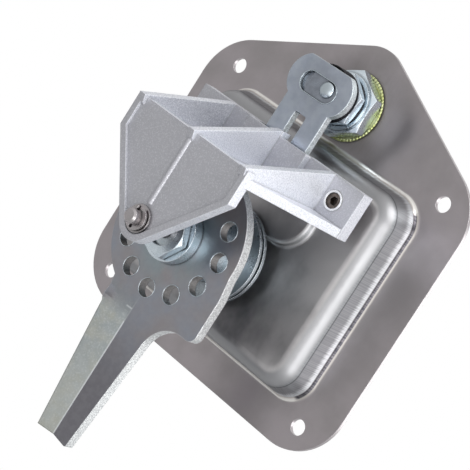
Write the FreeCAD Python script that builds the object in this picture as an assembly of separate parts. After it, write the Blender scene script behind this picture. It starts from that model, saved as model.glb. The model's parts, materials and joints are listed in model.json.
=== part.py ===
"""Folding T-handle lock for a tool box, seen from behind as well as in front.

A pressed plate carries a shallow pan with the handle on its front side. Behind it, the handle's
shaft turns a drilled lever plate with a folded arm. A pull rod runs through the hollow shaft and
carries a ribbed casting, whose tongue drops into the slotted cam of the key lock.

Frame: the plate lies in the XZ plane with its back face at Y = 0. The handle is on the -Y side,
the levers are on the +Y side, and +Z points to the key lock. The origin is the centre of the
four screw holes. Every piece is drawn about the shaft axis, which lies shaft_drop lower, and is
moved to the frame when it is written. All sizes are in millimetres and all angles in degrees.
"""
import FreeCAD, Part
import math
import os

Vec = FreeCAD.Vector

# Clearances
running_gap = 0.06       # radial play of a part that turns or slides in another
loose_gap = 0.3          # play between bodies that pass each other
fit_gap = 0.05           # play between pieces that are clamped together
key_gap = 0.1            # play of a tongue in its slot or of the cam on the lock tail

# Mounting plate
sheet = 1.5
plate_width = 136.0
plate_below = 45.8       # bottom edge below the shaft axis
plate_shoulder = 61.9    # top of the straight sides above the shaft axis
plate_tip = 93.1         # sharp corner of the pointed top above the shaft axis
plate_corner_r = 21.0
plate_shoulder_r = 21.8
plate_tip_r = 16.0
screw_span_x = 108.0
screw_span_z = 92.6
screw_hole_d = 5.9
shaft_drop = 10.8        # shaft axis below the centre of the screw holes

# Pan pressed into the plate
pan_half_width = 50.5
pan_lock_gap = 2.2       # between the pan's wall and the lock washer
pan_below = 31.0
pan_depth = 14.5
pan_draft = 12.0
pan_corner_r = 11.0
pan_shoulder_r = 6.8
pan_foot_r = 2.0

# Raised panel on the pan's floor
panel_half_width = 24.4
panel_low = 13.2
panel_end_gap = 11.0     # between the panel and the pan's wall on the lock's side
panel_height = 3.0
panel_draft = 10.0
panel_corner_r = 11.6
corner_share = 0.48         # most of a pressed form's short side that a corner takes up
panel_edge_r = 1.5
pocket_edge_r = 0.6
panel_foot_r = 1.1

# Handle and its pivot on the shaft
pin_depth = 4.0          # pivot pin behind the plate's back face
pin_r = 2.0
fork_r = 8.0
fork_bevel = 1.0
fork_front = 0.3
tongue_width = 6.0
heel_r = 4.0
heel_corner_r = 3.9
rod_travel = 2.2
heel_gap = 0.5
slot_relief = 0.2        # between the floor of the fork's slot and the rod's end
shank_depth = 7.4
shank_end_width = 15.0
shank_curve_r = 14.0
grip_reach = 34.2        # grip axis from the pivot
grip_r = 4.6
grip_waist_r = 4.0
grip_half_length = 23.6
grip_end_r = 2.4

# Shaft, bush and the stack of pieces on the shaft
bush_flange_r = 10.6
bush_flange = 1.4
bush_r = 8.6
bush_ring_r = 11.0
bush_ring = 4.7
disc_sheet = 1.5
lower_disc_r = 18.6
upper_disc_r = 19.0
thrust_ring_r = 9.6
thrust_ring = 1.5
journal_r = 6.5
stem_r = 5.95
stem_flat = 4.9          # half the distance across the stem's flats
stem_rise = 53.6         # back end of the shaft
sleeve_r = 12.0
sleeve_length = 18.9
collar_r = 10.7
collar_height = 4.6
stem_nut_across = 17.5
stem_nut_height = 3.7
stem_nut_turn = 5.0

# Lever plate
lever_sheet = 4.0
lever_r = 28.5
lever_hole_ring_r = 21.3
lever_hole_r = 3.55
lever_hole_count = 12
lever_hole_turn = -2.7
ear_reach = 29.9
ear_low = 26.6
ear_corner_r = 3.2
ear_blend_r = 25.0
ear_start = 9.0
ear_root_x = 26.5        # where the ear's outer side leaves the disc
ear_root_z = 10.3
arm_neck = 13.4          # inner side of the arm at its root
arm_neck_low = 27.0
arm_neck_r = 12.0
arm_tip = 83.4
arm_tip_side = 7.9
arm_tip_skew = 0.7       # how much the tip is cut back at the fold
arm_tip_corner_r = 0.8
fold_x = -0.8
fold_angle = 27.0
fold_start = 27.0
fold_run = 6.6
fold_steps = 6
fold_root_x = 13.8
fold_full_x = 8.9
fold_tip_x = 5.3
arm_root_x = 14.2
arm_root_z = 24.2

# Pull rod with its washer and clip
rod_r = 2.7
rod_tip = 74.7
rod_tip_chamfer = 0.7
clip_groove_r = 2.1
clip_relief_r = 0.735
clip_sheet = 0.9
clip_r = 4.3
clip_mouth = 3.0
clip_lift = 0.3
rod_washer_r = 5.0
rod_washer_sheet = 1.1

# Casting: foot strip, web, ribs and top plate
strip_front = 28.9       # face of the web and strip nearest the shaft
strip_depth = 17.4
strip_half_width = 42.0
strip_rise = 20.5
strip_sheet = 5.6
rib_sink = 1.68          # how far the ribs' feet sink into the strip
bridge_half_width = 15.0
bridge_leg = 2.0
bridge_rise = 26.6
bridge_sheet = 2.7
web_sheet = 3.3
web_foot_half_width = 41.5
top_rise = 65.4
top_sheet = 3.5
top_half_width = 28.5
top_side_low = 21.9
top_back = 34.5
boss_r = 7.8
rim_width = 2.4
rim_end_gap = 1.2        # between the ends of the side rims and the open back edge
rim_height = 1.0
bead_r = 1.1
bead_drop = 0.4          # centre of the bead below the top face
bead_start = 6.1
rib_sheet = 2.8
rib_spread = 26.3
rib_crest_z = 35.0
rib_crest_lift = 1.1
lug_reach = 2.0
lug_half_width = 1.6
lug_rise = 24.4
insert_x = -32.5
insert_z = 38.6
insert_r = 3.7
insert_bore_r = 2.9
insert_proud = 0.2
set_screw_short = 0.5
set_screw_socket = 3.0
set_screw_socket_depth = 2.6

# Key lock
lock_height = 67.6       # lock axis above the shaft axis
lock_head_r = 12.0
lock_head = 2.6
lock_head_round = 1.0
lock_body_r = 9.2
lock_body_rise = 8.0
lock_neck_r = 7.0
lock_neck_rise = 12.0
lock_hole_gap = 0.2
washer_sheet = 1.2
washer_root_r = 12.9
washer_tip_r = 13.4
washer_teeth = 40
washer_tooth_rise = 0.2  # shares of one tooth's step
washer_tooth_fall = 0.55
washer_tooth_end = 0.75
lock_nut_r = 13.4
lock_nut_height = 5.6
lock_nut_land = 0.8
lock_nut_land_r = 10.8
thin_nut_r = 10.6
thin_nut_lift = 0.5
thin_nut_turn = 95.0
spacer_r = 9.1
spacer_bore_gap = 0.3
plug_r = 6.0
plug_proud = 0.4
keyway_width = 1.5
keyway_height = 8.0
keyway_depth = 15.0

# Cam on the lock's tail
cam_rise = 21.0
cam_sheet = 3.0
cam_lobe_r = 9.2
cam_lobe_x = 5.4
cam_lobe_lift = 0.8
cam_flat_top = 8.9
cam_arm_half_width = 10.3
cam_reach = 24.6
cam_neck_drop = 7.0
cam_slot_half_width = 2.8
cam_slot_top = 11.2
cam_slot_low = 22.0
cam_slot_corner_r = 0.8
tail_half_length = 8.4
tail_half_width = 4.0
tail_rise = 2.4
tail_step = 0.8
tail_step_x = 5.0
rivet_r = 3.8
rivet_x = -4.1
rivet_shoulder_r = 2.7
rivet_shoulder = 0.34
rivet_crown = 0.45

# Tolerances for picking edges
level_tolerance = 1e-3
touch_tolerance = 1e-6

# Places worked out from the sizes above
pan_above = lock_height - washer_tip_r - pan_lock_gap
panel_high = pan_above - panel_end_gap
floor_front = pan_depth - sheet
rod_end = pin_depth + heel_r + rod_travel + heel_gap
slot_floor = rod_end - slot_relief
fork_back = floor_front - bush_flange - loose_gap
bush_top = pan_depth + bush_ring + disc_sheet
thrust_low = bush_top + loose_gap
thrust_top = thrust_low + thrust_ring
sleeve_low = thrust_top + disc_sheet
lever_low = sleeve_low + sleeve_length
lever_top = lever_low + lever_sheet
collar_top = lever_top + collar_height
bore_r = rod_r + running_gap
top_face = top_rise + top_sheet
strip_back = strip_front + strip_depth
strip_top = strip_rise + strip_sheet
bridge_top = bridge_rise + bridge_sheet


def rounded_wire(corners, y):
    """Closed wire at height y through corners (x, z, radius), each rounded by its radius."""
    count = len(corners)
    points = [Vec(x, y, z) for x, z, radius in corners]
    starts = []
    middles = []
    ends = []
    for i, point in enumerate(points):
        radius = corners[i][2]
        back = (points[i - 1] - point).normalize()
        ahead = (points[(i + 1) % count] - point).normalize()
        half = back.getAngle(ahead) / 2.0
        reach = radius / math.tan(half)
        towards = (back + ahead).normalize()
        starts.append(point + back * reach)
        middles.append(point + towards * (radius / math.sin(half) - radius))
        ends.append(point + ahead * reach)
    edges = []
    for i in range(count):
        if corners[i][2] > 0.0:
            edges.append(Part.Arc(starts[i], middles[i], ends[i]).toShape())
        follow = starts[(i + 1) % count]
        if (follow - ends[i]).Length > touch_tolerance:
            edges.append(Part.makeLine(ends[i], follow))
    return Part.Wire(edges)


def slab(corners, low, high):
    """Plate between two heights with the rounded outline of its corners."""
    return Part.Face(rounded_wire(corners, low)).extrude(Vec(0, high - low, 0))


def upright(x, z, radius, low, high):
    """Cylinder along Y."""
    return Part.makeCylinder(radius, high - low, Vec(x, low, z), Vec(0, 1, 0))


def turned(profile, x=0.0, z=0.0):
    """Solid turned about a line along Y, from (radius, y) points."""
    points = [Vec(x + radius, y, z) for radius, y in profile]
    face = Part.Face(Part.makePolygon(points + points[:1]))
    return face.revolve(Vec(x, 0, z), Vec(0, 1, 0), 360)


def ring(inner, outer, low, high, z=0.0):
    """Plain ring about a line along Y."""
    return turned([(inner, low), (outer, low), (outer, high), (inner, high)], 0.0, z)


def hexagon(radius, low, high, turn, z=0.0):
    """Hexagonal prism along Y, with one corner at the angle turn."""
    corners = []
    for i in range(6):
        angle = math.radians(turn + 60.0 * i)
        corners.append((radius * math.cos(angle), z + radius * math.sin(angle), 0.0))
    return slab(corners, low, high)


def hex_nut(radius, bore, low, high, turn, z=0.0):
    """Hexagon nut whose corners are chamfered on both faces."""
    flat_r = radius * math.cos(math.radians(30.0))
    drop = (radius - flat_r) * math.tan(math.radians(30.0))
    envelope = turned([(bore, low), (flat_r, low), (radius, low + drop), (radius, high - drop),
                       (flat_r, high), (bore, high)], 0.0, z)
    return hexagon(radius, low, high, turn, z).common(envelope)


def in_span(value, low, high):
    """Whether a value lies between two limits, with a little slack."""
    return low - level_tolerance <= value <= high + level_tolerance


def level_edges(shape, y, half_width, low, high):
    """Edges that lie at height y, within a width about X = 0 and a span of Z."""
    found = []
    for edge in shape.Edges:
        box = edge.BoundBox
        level = abs(box.YMin - y) < level_tolerance and abs(box.YMax - y) < level_tolerance
        wide = in_span(box.XMin, -half_width, half_width) and in_span(box.XMax, -half_width, half_width)
        tall = in_span(box.ZMin, low, high) and in_span(box.ZMax, low, high)
        if level and wide and tall:
            found.append(edge)
    return found


def pressed_form(half_width, low, high, base, crest, draft, corner_r, edge_r):
    """Drafted box with round corners and a round crest; its sizes hold at the height Y = 0."""
    slope = math.tan(math.radians(draft))
    sections = []
    for y in (base, crest):
        inset = y * slope
        sections.append(rounded_wire([(-half_width + inset, low + inset, 0.0),
                                      (half_width - inset, low + inset, 0.0),
                                      (half_width - inset, high - inset, 0.0),
                                      (-half_width + inset, high - inset, 0.0)], y))
    form = Part.makeLoft(sections, True, True)
    slanted = [e for e in form.Edges if e.BoundBox.YLength > 0.5 * (crest - base)]
    short_side = min(2.0 * half_width, high - low) - 2.0 * crest * slope
    form = form.makeFillet(min(corner_r, corner_share * short_side), slanted)
    crest_edges = level_edges(form, crest, half_width, low, high)
    return form.makeFillet(edge_r, crest_edges)


def raised(form, lift):
    """The form moved along Y."""
    moved = form.copy()
    moved.translate(Vec(0, lift, 0))
    return moved


def plate_outline():
    """Corners of the plate: a rectangle with a pointed top."""
    half = plate_width / 2.0
    return [(-half, -plate_below, plate_corner_r), (half, -plate_below, plate_corner_r),
            (half, plate_shoulder, plate_shoulder_r), (0.0, plate_tip, plate_tip_r),
            (-half, plate_shoulder, plate_shoulder_r)]


def mounting_pan():
    """Plate, pan and raised panel, pressed from one sheet."""
    bend = math.cos(math.radians(pan_draft))
    wall = sheet / bend
    panel_base = pan_depth - sheet
    outside = slab(plate_outline(), -sheet, 0.0)
    outside = outside.fuse(pressed_form(pan_half_width, -pan_below, pan_above, -0.5 * sheet, pan_depth,
                                        pan_draft, pan_corner_r, pan_shoulder_r)).removeSplitter()
    foot = level_edges(outside, 0.0, pan_half_width, -pan_below, pan_above)
    outside = outside.makeFillet(pan_foot_r, foot)
    panel = pressed_form(panel_half_width, panel_low, panel_high, -0.5 * sheet, panel_height,
                         panel_draft, panel_corner_r, panel_edge_r)
    outside = outside.fuse(raised(panel, pan_depth)).removeSplitter()
    panel_foot = level_edges(outside, pan_depth, panel_half_width, panel_low, panel_high)
    outside = outside.makeFillet(panel_foot_r, panel_foot)
    inside = pressed_form(pan_half_width - wall, wall - pan_below, pan_above - wall, -2.0 * sheet,
                          panel_base, pan_draft, pan_corner_r - sheet, pan_shoulder_r - sheet)
    pocket = pressed_form(panel_half_width - sheet, panel_low + sheet, panel_high - sheet, -0.5 * sheet,
                          panel_height, panel_draft, panel_corner_r - sheet, pocket_edge_r)
    inside = inside.fuse(raised(pocket, panel_base))
    pan = outside.cut(inside).removeSplitter()
    rim = level_edges(pan, -sheet, pan_half_width, -pan_below, pan_above)
    pan = pan.makeFillet(pan_foot_r + sheet, rim)
    screw_x = screw_span_x / 2.0
    for side_x in (-screw_x, screw_x):
        for side_z in (-0.5, 0.5):
            z = shaft_drop + side_z * screw_span_z
            pan = pan.cut(upright(side_x, z, screw_hole_d / 2.0, -2.0 * sheet, sheet))
    pan = pan.cut(upright(0.0, 0.0, bush_r, 0.0, pan_depth + sheet))
    return pan.cut(upright(0.0, lock_height, lock_body_r + lock_hole_gap, -2.0 * sheet, sheet))


def shaft_bush():
    """Flanged bush through the pan's floor, in which the shaft turns."""
    bore = journal_r + running_gap
    low = floor_front - bush_flange
    return turned([(bore, low), (bush_flange_r, low), (bush_flange_r, floor_front),
                   (bush_r, floor_front), (bush_r, bush_top), (bore, bush_top)])


def bush_ring_piece():
    """Ring that clamps the bush to the back of the floor."""
    return ring(bush_r, bush_ring_r, pan_depth, pan_depth + bush_ring)


def lower_disc():
    """Fixed guard disc on the bush."""
    return ring(bush_r, lower_disc_r, pan_depth + bush_ring, bush_top)


def thrust_washer():
    """Thrust ring between the bush and the turning stack."""
    return ring(stem_r + fit_gap, thrust_ring_r, thrust_low, thrust_top)


def upper_disc():
    """Turning guard disc on the shaft."""
    return ring(stem_r + fit_gap, upper_disc_r, thrust_top, sleeve_low)


def hub_sleeve():
    """Spacer that holds the lever plate off the discs."""
    return ring(stem_r + fit_gap, sleeve_r, sleeve_low, lever_low)


def stem_flats(low, high, gap):
    """Block between the stem's two flats, widened by a gap."""
    half = stem_flat + gap
    return Part.makeBox(2.0 * half, high - low, 4.0 * stem_r, Vec(-half, low, -2.0 * stem_r))


def drive_shaft():
    """Hollow shaft with a fork for the handle in front and a flatted stem behind."""
    head = turned([(0.0, fork_front), (fork_r - fork_bevel, fork_front), (fork_r, fork_front + fork_bevel),
                   (fork_r, fork_back), (0.0, fork_back)])
    journal = upright(0.0, 0.0, journal_r, fork_back, thrust_low)
    flatted = upright(0.0, 0.0, stem_r, thrust_low, lever_top).common(stem_flats(thrust_low, lever_top, 0.0))
    end = upright(0.0, 0.0, stem_r, lever_top, stem_rise)
    shaft = head.fuse([journal, flatted, end])
    slot_half = tongue_width / 2.0 + key_gap
    slot = Part.makeBox(2.0 * slot_half, slot_floor - fork_front + sheet, 4.0 * fork_r,
                        Vec(-slot_half, fork_front - sheet, -2.0 * fork_r))
    pin_hole = Part.makeCylinder(pin_r, 4.0 * fork_r, Vec(-2.0 * fork_r, pin_depth, 0.0), Vec(1, 0, 0))
    bore = upright(0.0, 0.0, bore_r, 0.0, stem_rise + sheet)
    return shaft.cut([slot, pin_hole, bore]).removeSplitter()


def fold_pin():
    """Cross pin on which the handle folds, flush with the fork's sides."""
    pin = Part.makeCylinder(pin_r, 4.0 * fork_r, Vec(-2.0 * fork_r, pin_depth, 0.0), Vec(1, 0, 0))
    return pin.common(upright(0.0, 0.0, fork_r, 0.0, pan_depth))


def fold_plane_slab(corners, low, high):
    """Slab whose outline (y, z, radius) is drawn in the YZ plane and which spans X."""
    wire = rounded_wire([(y, z, radius) for y, z, radius in corners], 0.0)
    face = Part.Face(wire)
    face.rotate(Vec(0, 0, 0), Vec(0, 0, 1), 90)
    face.translate(Vec(low, 0, 0))
    return face.extrude(Vec(high - low, 0, 0))


def t_handle():
    """Folding handle: tongue with a cam heel, flared shank and a round grip."""
    half = tongue_width / 2.0
    heel_top = pin_depth + heel_r + rod_travel
    heel_low = pin_depth - heel_r
    shank_low = pin_depth - shank_depth / 2.0
    shank_high = pin_depth + shank_depth / 2.0
    heel = fold_plane_slab([(heel_low, -heel_r, heel_corner_r), (heel_top, -heel_r, heel_corner_r),
                            (heel_top, heel_r, heel_corner_r), (heel_low, heel_r, heel_corner_r)],
                           -half, half)
    flare = shank_end_width / 2.0
    outline = [(-half, 0.0, 0.0), (half, 0.0, 0.0), (half, grip_reach - shank_curve_r, shank_curve_r),
               (flare, grip_reach, 0.0), (-flare, grip_reach, 0.0),
               (-half, grip_reach - shank_curve_r, shank_curve_r)]
    shank = slab(outline, shank_low, shank_high)
    shoulder_x = grip_half_length - grip_end_r
    round_x = shoulder_x + grip_end_r * math.sin(math.radians(45.0))
    round_y = grip_r - grip_end_r * (1.0 - math.cos(math.radians(45.0)))
    axis_point = Vec(0.0, 0.0, 0.0)
    waist_point = Vec(0.0, grip_waist_r, 0.0)
    shoulder_point = Vec(shoulder_x, grip_r, 0.0)
    cap_point = Vec(grip_half_length, grip_r - grip_end_r, 0.0)
    end_point = Vec(grip_half_length, 0.0, 0.0)
    edges = [Part.makeLine(axis_point, waist_point), Part.makeLine(waist_point, shoulder_point),
             Part.Arc(shoulder_point, Vec(round_x, round_y, 0.0), cap_point).toShape(),
             Part.makeLine(cap_point, end_point), Part.makeLine(end_point, axis_point)]
    right = Part.Face(Part.Wire(edges)).revolve(Vec(0, 0, 0), Vec(1, 0, 0), 360)
    left = right.mirror(Vec(0, 0, 0), Vec(1, 0, 0))
    grip = right.fuse(left)
    grip.translate(Vec(0, pin_depth, grip_reach))
    pin_hole = Part.makeCylinder(pin_r + running_gap, 4.0 * fork_r, Vec(-2.0 * fork_r, pin_depth, 0.0),
                                 Vec(1, 0, 0))
    return heel.fuse([shank, grip]).cut(pin_hole).removeSplitter()


def lever_flat():
    """Flat part of the lever plate: disc, ear and the unfolded half of the arm."""
    disc = upright(0.0, 0.0, lever_r, lever_low, lever_top)
    inside = 0.5 * lever_hole_ring_r
    outline = [(-ear_reach, -ear_start, ear_blend_r), (-ear_reach, -ear_low, ear_corner_r),
               (-arm_neck, -arm_neck_low, arm_neck_r), (-arm_tip_side, -arm_tip, arm_tip_corner_r),
               (fold_x, arm_tip_skew - arm_tip, 0.0), (fold_x, -fold_start, 0.0),
               (fold_root_x, -fold_start, 0.0), (arm_root_x, -arm_root_z, 0.0),
               (inside, 0.0, 0.0), (-inside, inside, 0.0), (-ear_root_x, ear_root_z, 0.0)]
    return disc.fuse(slab(outline, lever_low, lever_top))


def fold_section(z, outer_x, angle):
    """Section of the folded half of the arm at one place along it."""
    tilt = math.radians(angle)
    rise = (outer_x - fold_x) * math.tan(tilt)
    top = Vec(outer_x, lever_top + rise, z)
    low = Vec(outer_x + lever_sheet * math.sin(tilt), lever_top + rise - lever_sheet * math.cos(tilt), z)
    points = [Vec(fold_x, lever_low, z), Vec(fold_x, lever_top, z), top, low]
    return Part.makePolygon(points + points[:1])


def lever_fold():
    """Folded half of the arm, which twists out of the plate and then runs straight to the tip."""
    sections = []
    for i in range(fold_steps + 1):
        share = i / fold_steps
        ease = share * share * (3.0 - 2.0 * share)
        outer_x = fold_root_x + (fold_full_x - fold_root_x) * share
        sections.append(fold_section(-fold_start - fold_run * share, outer_x, fold_angle * ease))
    sections.append(fold_section(arm_tip_skew - arm_tip, fold_tip_x, fold_angle))
    return Part.makeLoft(sections, True, True)


def lever_plate():
    """Drilled lever plate on the shaft, with an ear for a stop and one long folded arm."""
    plate = lever_flat().fuse(lever_fold())
    for i in range(lever_hole_count):
        angle = math.radians(lever_hole_turn + 360.0 * i / lever_hole_count)
        x = lever_hole_ring_r * math.cos(angle)
        z = lever_hole_ring_r * math.sin(angle)
        plate = plate.cut(upright(x, z, lever_hole_r, lever_low - sheet, lever_top + sheet))
    hole = upright(0.0, 0.0, stem_r + fit_gap, lever_low, lever_top)
    return plate.cut(hole.common(stem_flats(lever_low, lever_top, fit_gap))).removeSplitter()


def shaft_collar():
    """Round collar between the lever plate and the nut."""
    return ring(stem_r + fit_gap, collar_r, lever_top, collar_top)


def shaft_nut():
    """Hexagon nut that clamps the stack on the stem."""
    radius = stem_nut_across / 2.0 / math.cos(math.radians(30.0))
    return hex_nut(radius, stem_r + fit_gap, collar_top, collar_top + stem_nut_height, stem_nut_turn)


def clip_low():
    """Height of the clip's lower face, just above the rod washer."""
    return top_face + rod_washer_sheet + clip_lift


def pull_rod():
    """Rod through the hollow shaft, with a groove for its clip near the back end."""
    groove_top = clip_low() + clip_sheet
    return turned([(0.0, rod_end), (rod_r, rod_end), (rod_r, clip_low()), (clip_groove_r, clip_low()),
                   (clip_groove_r, groove_top), (rod_r, groove_top), (rod_r, rod_tip - rod_tip_chamfer),
                   (rod_r - rod_tip_chamfer, rod_tip), (0.0, rod_tip)])


def e_clip():
    """Spring clip in the rod's groove, open on one side."""
    low = clip_low()
    clip = ring(clip_groove_r, clip_r, low, low + clip_sheet)
    mouth = Part.makeBox(clip_mouth, clip_sheet, 2.0 * clip_r, Vec(-clip_mouth / 2.0, low, 0.0))
    relief = upright(0.0, -0.5 * (clip_groove_r + clip_r), clip_relief_r, low, low + clip_sheet)
    return clip.cut([mouth, relief])


def rod_washer():
    """Washer that spreads the clip's pull on the casting."""
    return ring(rod_r + running_gap, rod_washer_r, top_face, top_face + rod_washer_sheet)


def top_outline():
    """Corner points of the top plate, and where its tapering sides touch the boss circle."""
    corner = math.hypot(top_half_width, top_side_low)
    lean = math.atan2(top_side_low, top_half_width) - math.acos(boss_r / corner)
    touch_x = boss_r * math.cos(lean)
    touch_z = boss_r * math.sin(lean)
    return touch_x, touch_z


def top_face_outline(y):
    """Face of the top plate at height y: straight back, tapering sides and a round nose."""
    touch_x, touch_z = top_outline()
    right = [Vec(touch_x, y, touch_z), Vec(top_half_width, y, top_side_low), Vec(top_half_width, y, top_back)]
    left = [Vec(-point.x, y, point.z) for point in reversed(right)]
    straight = Part.makePolygon(right + left)
    nose = Part.Arc(left[-1], Vec(0.0, y, -boss_r), right[0]).toShape()
    return Part.Face(Part.Wire(straight.Edges + [nose]))


def cast_strip():
    """Foot strip with a raised bridge in the middle, which the cam's arm passes under."""
    inner = bridge_half_width - bridge_leg
    right = [(inner, bridge_rise), (inner, strip_rise), (strip_half_width, strip_rise),
             (strip_half_width, strip_top), (bridge_half_width, strip_top), (bridge_half_width, bridge_top)]
    points = [Vec(x, y, strip_front) for x, y in right]
    points += [Vec(-x, y, strip_front) for x, y in reversed(right)]
    return Part.Face(Part.makePolygon(points + points[:1])).extrude(Vec(0, 0, strip_depth))


def cast_web():
    """Upright web that narrows from the strip to the top plate."""
    right = [(bridge_half_width, bridge_rise), (web_foot_half_width, strip_top),
             (top_half_width, top_rise + 0.5 * top_sheet)]
    points = [Vec(x, y, strip_front) for x, y in right]
    points += [Vec(-x, y, strip_front) for x, y in reversed(right)]
    return Part.Face(Part.makePolygon(points + points[:1])).extrude(Vec(0, 0, web_sheet))


def cast_rib(x, foot_z, foot_y):
    """Triangular rib from the top plate's back edge down to the strip."""
    root = strip_front + 0.5 * web_sheet
    crest = top_face + rim_height
    points = [Vec(x, strip_top - rib_sink, root), Vec(x, strip_top - rib_sink, foot_z),
              Vec(x, foot_y, foot_z), Vec(x, crest + rib_crest_lift, rib_crest_z),
              Vec(x, crest, top_back - rim_width), Vec(x, top_rise + 0.5 * top_sheet, root)]
    rib = Part.Face(Part.makePolygon(points + points[:1])).extrude(Vec(rib_sheet, 0, 0))
    rib.translate(Vec(-rib_sheet / 2.0, 0, 0))
    return rib


def bracket():
    """Ribbed casting carried by the pull rod: top plate, web, ribs, strip and locking lug."""
    top = top_face_outline(top_rise).extrude(Vec(0, top_sheet, 0))
    rim_base = top_face_outline(top_face)
    rim = rim_base.cut(rim_base.makeOffset2D(-rim_width)).extrude(Vec(0, rim_height, 0))
    back_half = top_half_width - rim_width
    rim = rim.cut(Part.makeBox(2.0 * back_half, rim_height, 2.0 * rim_width,
                               Vec(-back_half, top_face, top_back - rim_width - rim_end_gap)))
    bead_length = top_back - bead_start
    bead = Part.makeCylinder(bead_r, bead_length, Vec(0, top_face - bead_drop, bead_start), Vec(0, 0, 1))
    lug_back = strip_back + lug_reach
    ribs = [cast_rib(-rib_spread, strip_back, strip_top), cast_rib(rib_spread, strip_back, strip_top)]
    middle = cast_rib(0.0, lug_back, bridge_top)
    under = Part.makeBox(4.0 * rib_sheet, bridge_top - bridge_rise + strip_sheet, 2.0 * strip_depth,
                         Vec(-2.0 * rib_sheet, bridge_rise - strip_sheet, strip_front))
    middle = middle.cut(under)
    lug = Part.makeBox(2.0 * lug_half_width, bridge_top - lug_rise, lug_reach,
                       Vec(-lug_half_width, lug_rise, strip_back))
    cast = cast_strip().fuse([cast_web(), top, rim, bead, middle, lug] + ribs)
    rod_hole = upright(0.0, 0.0, bore_r, top_rise - sheet, top_face + 2.0 * rim_height)
    insert_hole = upright(insert_x, insert_z, insert_r, strip_rise - sheet, strip_top + sheet)
    return cast.cut([rod_hole, insert_hole])


def thread_insert():
    """Steel thread insert pressed into the strip."""
    return turned([(insert_bore_r, strip_rise), (insert_r, strip_rise), (insert_r, strip_top + insert_proud),
                   (insert_bore_r, strip_top + insert_proud)], insert_x, insert_z)


def set_screw():
    """Socket set screw in the thread insert."""
    top = strip_top - set_screw_short
    screw = upright(insert_x, insert_z, insert_bore_r, strip_rise, top)
    socket = hexagon(set_screw_socket / 2.0 / math.cos(math.radians(30.0)), top - set_screw_socket_depth,
                     top + sheet, 0.0)
    socket.translate(Vec(insert_x, 0, insert_z))
    return screw.cut(socket)


def lock_housing():
    """Lock barrel: round head in front, threaded body through the plate and a neck behind it."""
    bore = plug_r + running_gap
    front = -sheet - lock_head
    return turned([(bore, front), (lock_head_r - lock_head_round, front),
                   (lock_head_r, front + lock_head_round), (lock_head_r, -sheet),
                   (lock_body_r, -sheet), (lock_body_r, lock_body_rise),
                   (lock_neck_r, lock_body_rise), (lock_neck_r, lock_neck_rise), (bore, lock_neck_rise)],
                  0.0, lock_height)


def lock_washer():
    """Toothed lock washer under the big nut."""
    tooth_steps = ((washer_root_r, 0.0), (washer_tip_r, washer_tooth_rise),
                   (washer_tip_r, washer_tooth_fall), (washer_root_r, washer_tooth_end))
    corners = []
    step = 360.0 / washer_teeth
    for i in range(washer_teeth):
        for radius, share in tooth_steps:
            angle = math.radians(step * (i + share))
            corners.append((radius * math.cos(angle), lock_height + radius * math.sin(angle), 0.0))
    hole = upright(0.0, lock_height, lock_body_r + fit_gap, 0.0, washer_sheet)
    return slab(corners, 0.0, washer_sheet).cut(hole)


def lock_nut():
    """Big hexagon nut that clamps the lock to the plate, with a raised land on its back."""
    top = washer_sheet + lock_nut_height
    nut = hex_nut(lock_nut_r, lock_body_r, washer_sheet, top, 90.0, lock_height)
    land = ring(lock_body_r, lock_nut_land_r, top, top + lock_nut_land, lock_height)
    return nut.fuse(land).removeSplitter()


def lock_thin_nut():
    """Thin nut on the barrel's neck."""
    low = lock_body_rise + thin_nut_lift
    return hex_nut(thin_nut_r, lock_neck_r, low, lock_neck_rise, thin_nut_turn, lock_height)


def lock_spacer():
    """Dark spacer ring between the barrel and the cam."""
    return ring(plug_r + spacer_bore_gap, spacer_r, lock_neck_rise, cam_rise - loose_gap, lock_height)


def lock_plug():
    """Key plug that turns in the barrel, with its keyway in front."""
    front = -sheet - lock_head - plug_proud
    plug = upright(0.0, lock_height, plug_r, front, cam_rise)
    keyway = Part.makeBox(keyway_width, keyway_depth, keyway_height,
                          Vec(-keyway_width / 2.0, front, lock_height - keyway_height / 2.0))
    return plug.cut(keyway)


def lobe(side):
    """One round lobe of the cam's head."""
    return upright(side * cam_lobe_x, lock_height + cam_lobe_lift, cam_lobe_r, cam_rise, cam_rise + cam_sheet)


def lock_cam():
    """Slotted cam: broad head around the lock's tail and an arm that runs under the casting."""
    top = cam_rise + cam_sheet
    neck_x = cam_arm_half_width
    wide = cam_lobe_x + cam_lobe_r
    head_top = lock_height + cam_flat_top
    neck_z = lock_height - cam_neck_drop
    body = slab([(-cam_lobe_x, head_top, 0.0), (cam_lobe_x, head_top, 0.0), (cam_lobe_x, neck_z, 0.0),
                 (-cam_lobe_x, neck_z, 0.0)], cam_rise, top)
    arm_low = lock_height - 2.0 * cam_reach
    arm = slab([(-neck_x, lock_height, 0.0), (neck_x, lock_height, 0.0), (neck_x, arm_low, 0.0),
                (-neck_x, arm_low, 0.0)], cam_rise, top)
    arm = arm.common(upright(0.0, lock_height, cam_reach, cam_rise, top))
    trim = slab([(-wide, head_top, 0.0), (wide, head_top, 0.0), (wide, arm_low, 0.0), (-wide, arm_low, 0.0)],
                cam_rise, top)
    cam = body.fuse([lobe(-1.0), lobe(1.0), arm]).common(trim).removeSplitter()
    hole = obround(tail_half_length + key_gap, tail_half_width + key_gap, cam_rise - sheet, top + sheet)
    slot_low = lock_height - cam_slot_low
    slot_high = lock_height - cam_slot_top
    half = cam_slot_half_width
    slot = slab([(-half, slot_low, cam_slot_corner_r), (half, slot_low, cam_slot_corner_r),
                 (half, slot_high, cam_slot_corner_r), (-half, slot_high, cam_slot_corner_r)],
                cam_rise - sheet, top + sheet)
    return cam.cut([hole, slot])


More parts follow.
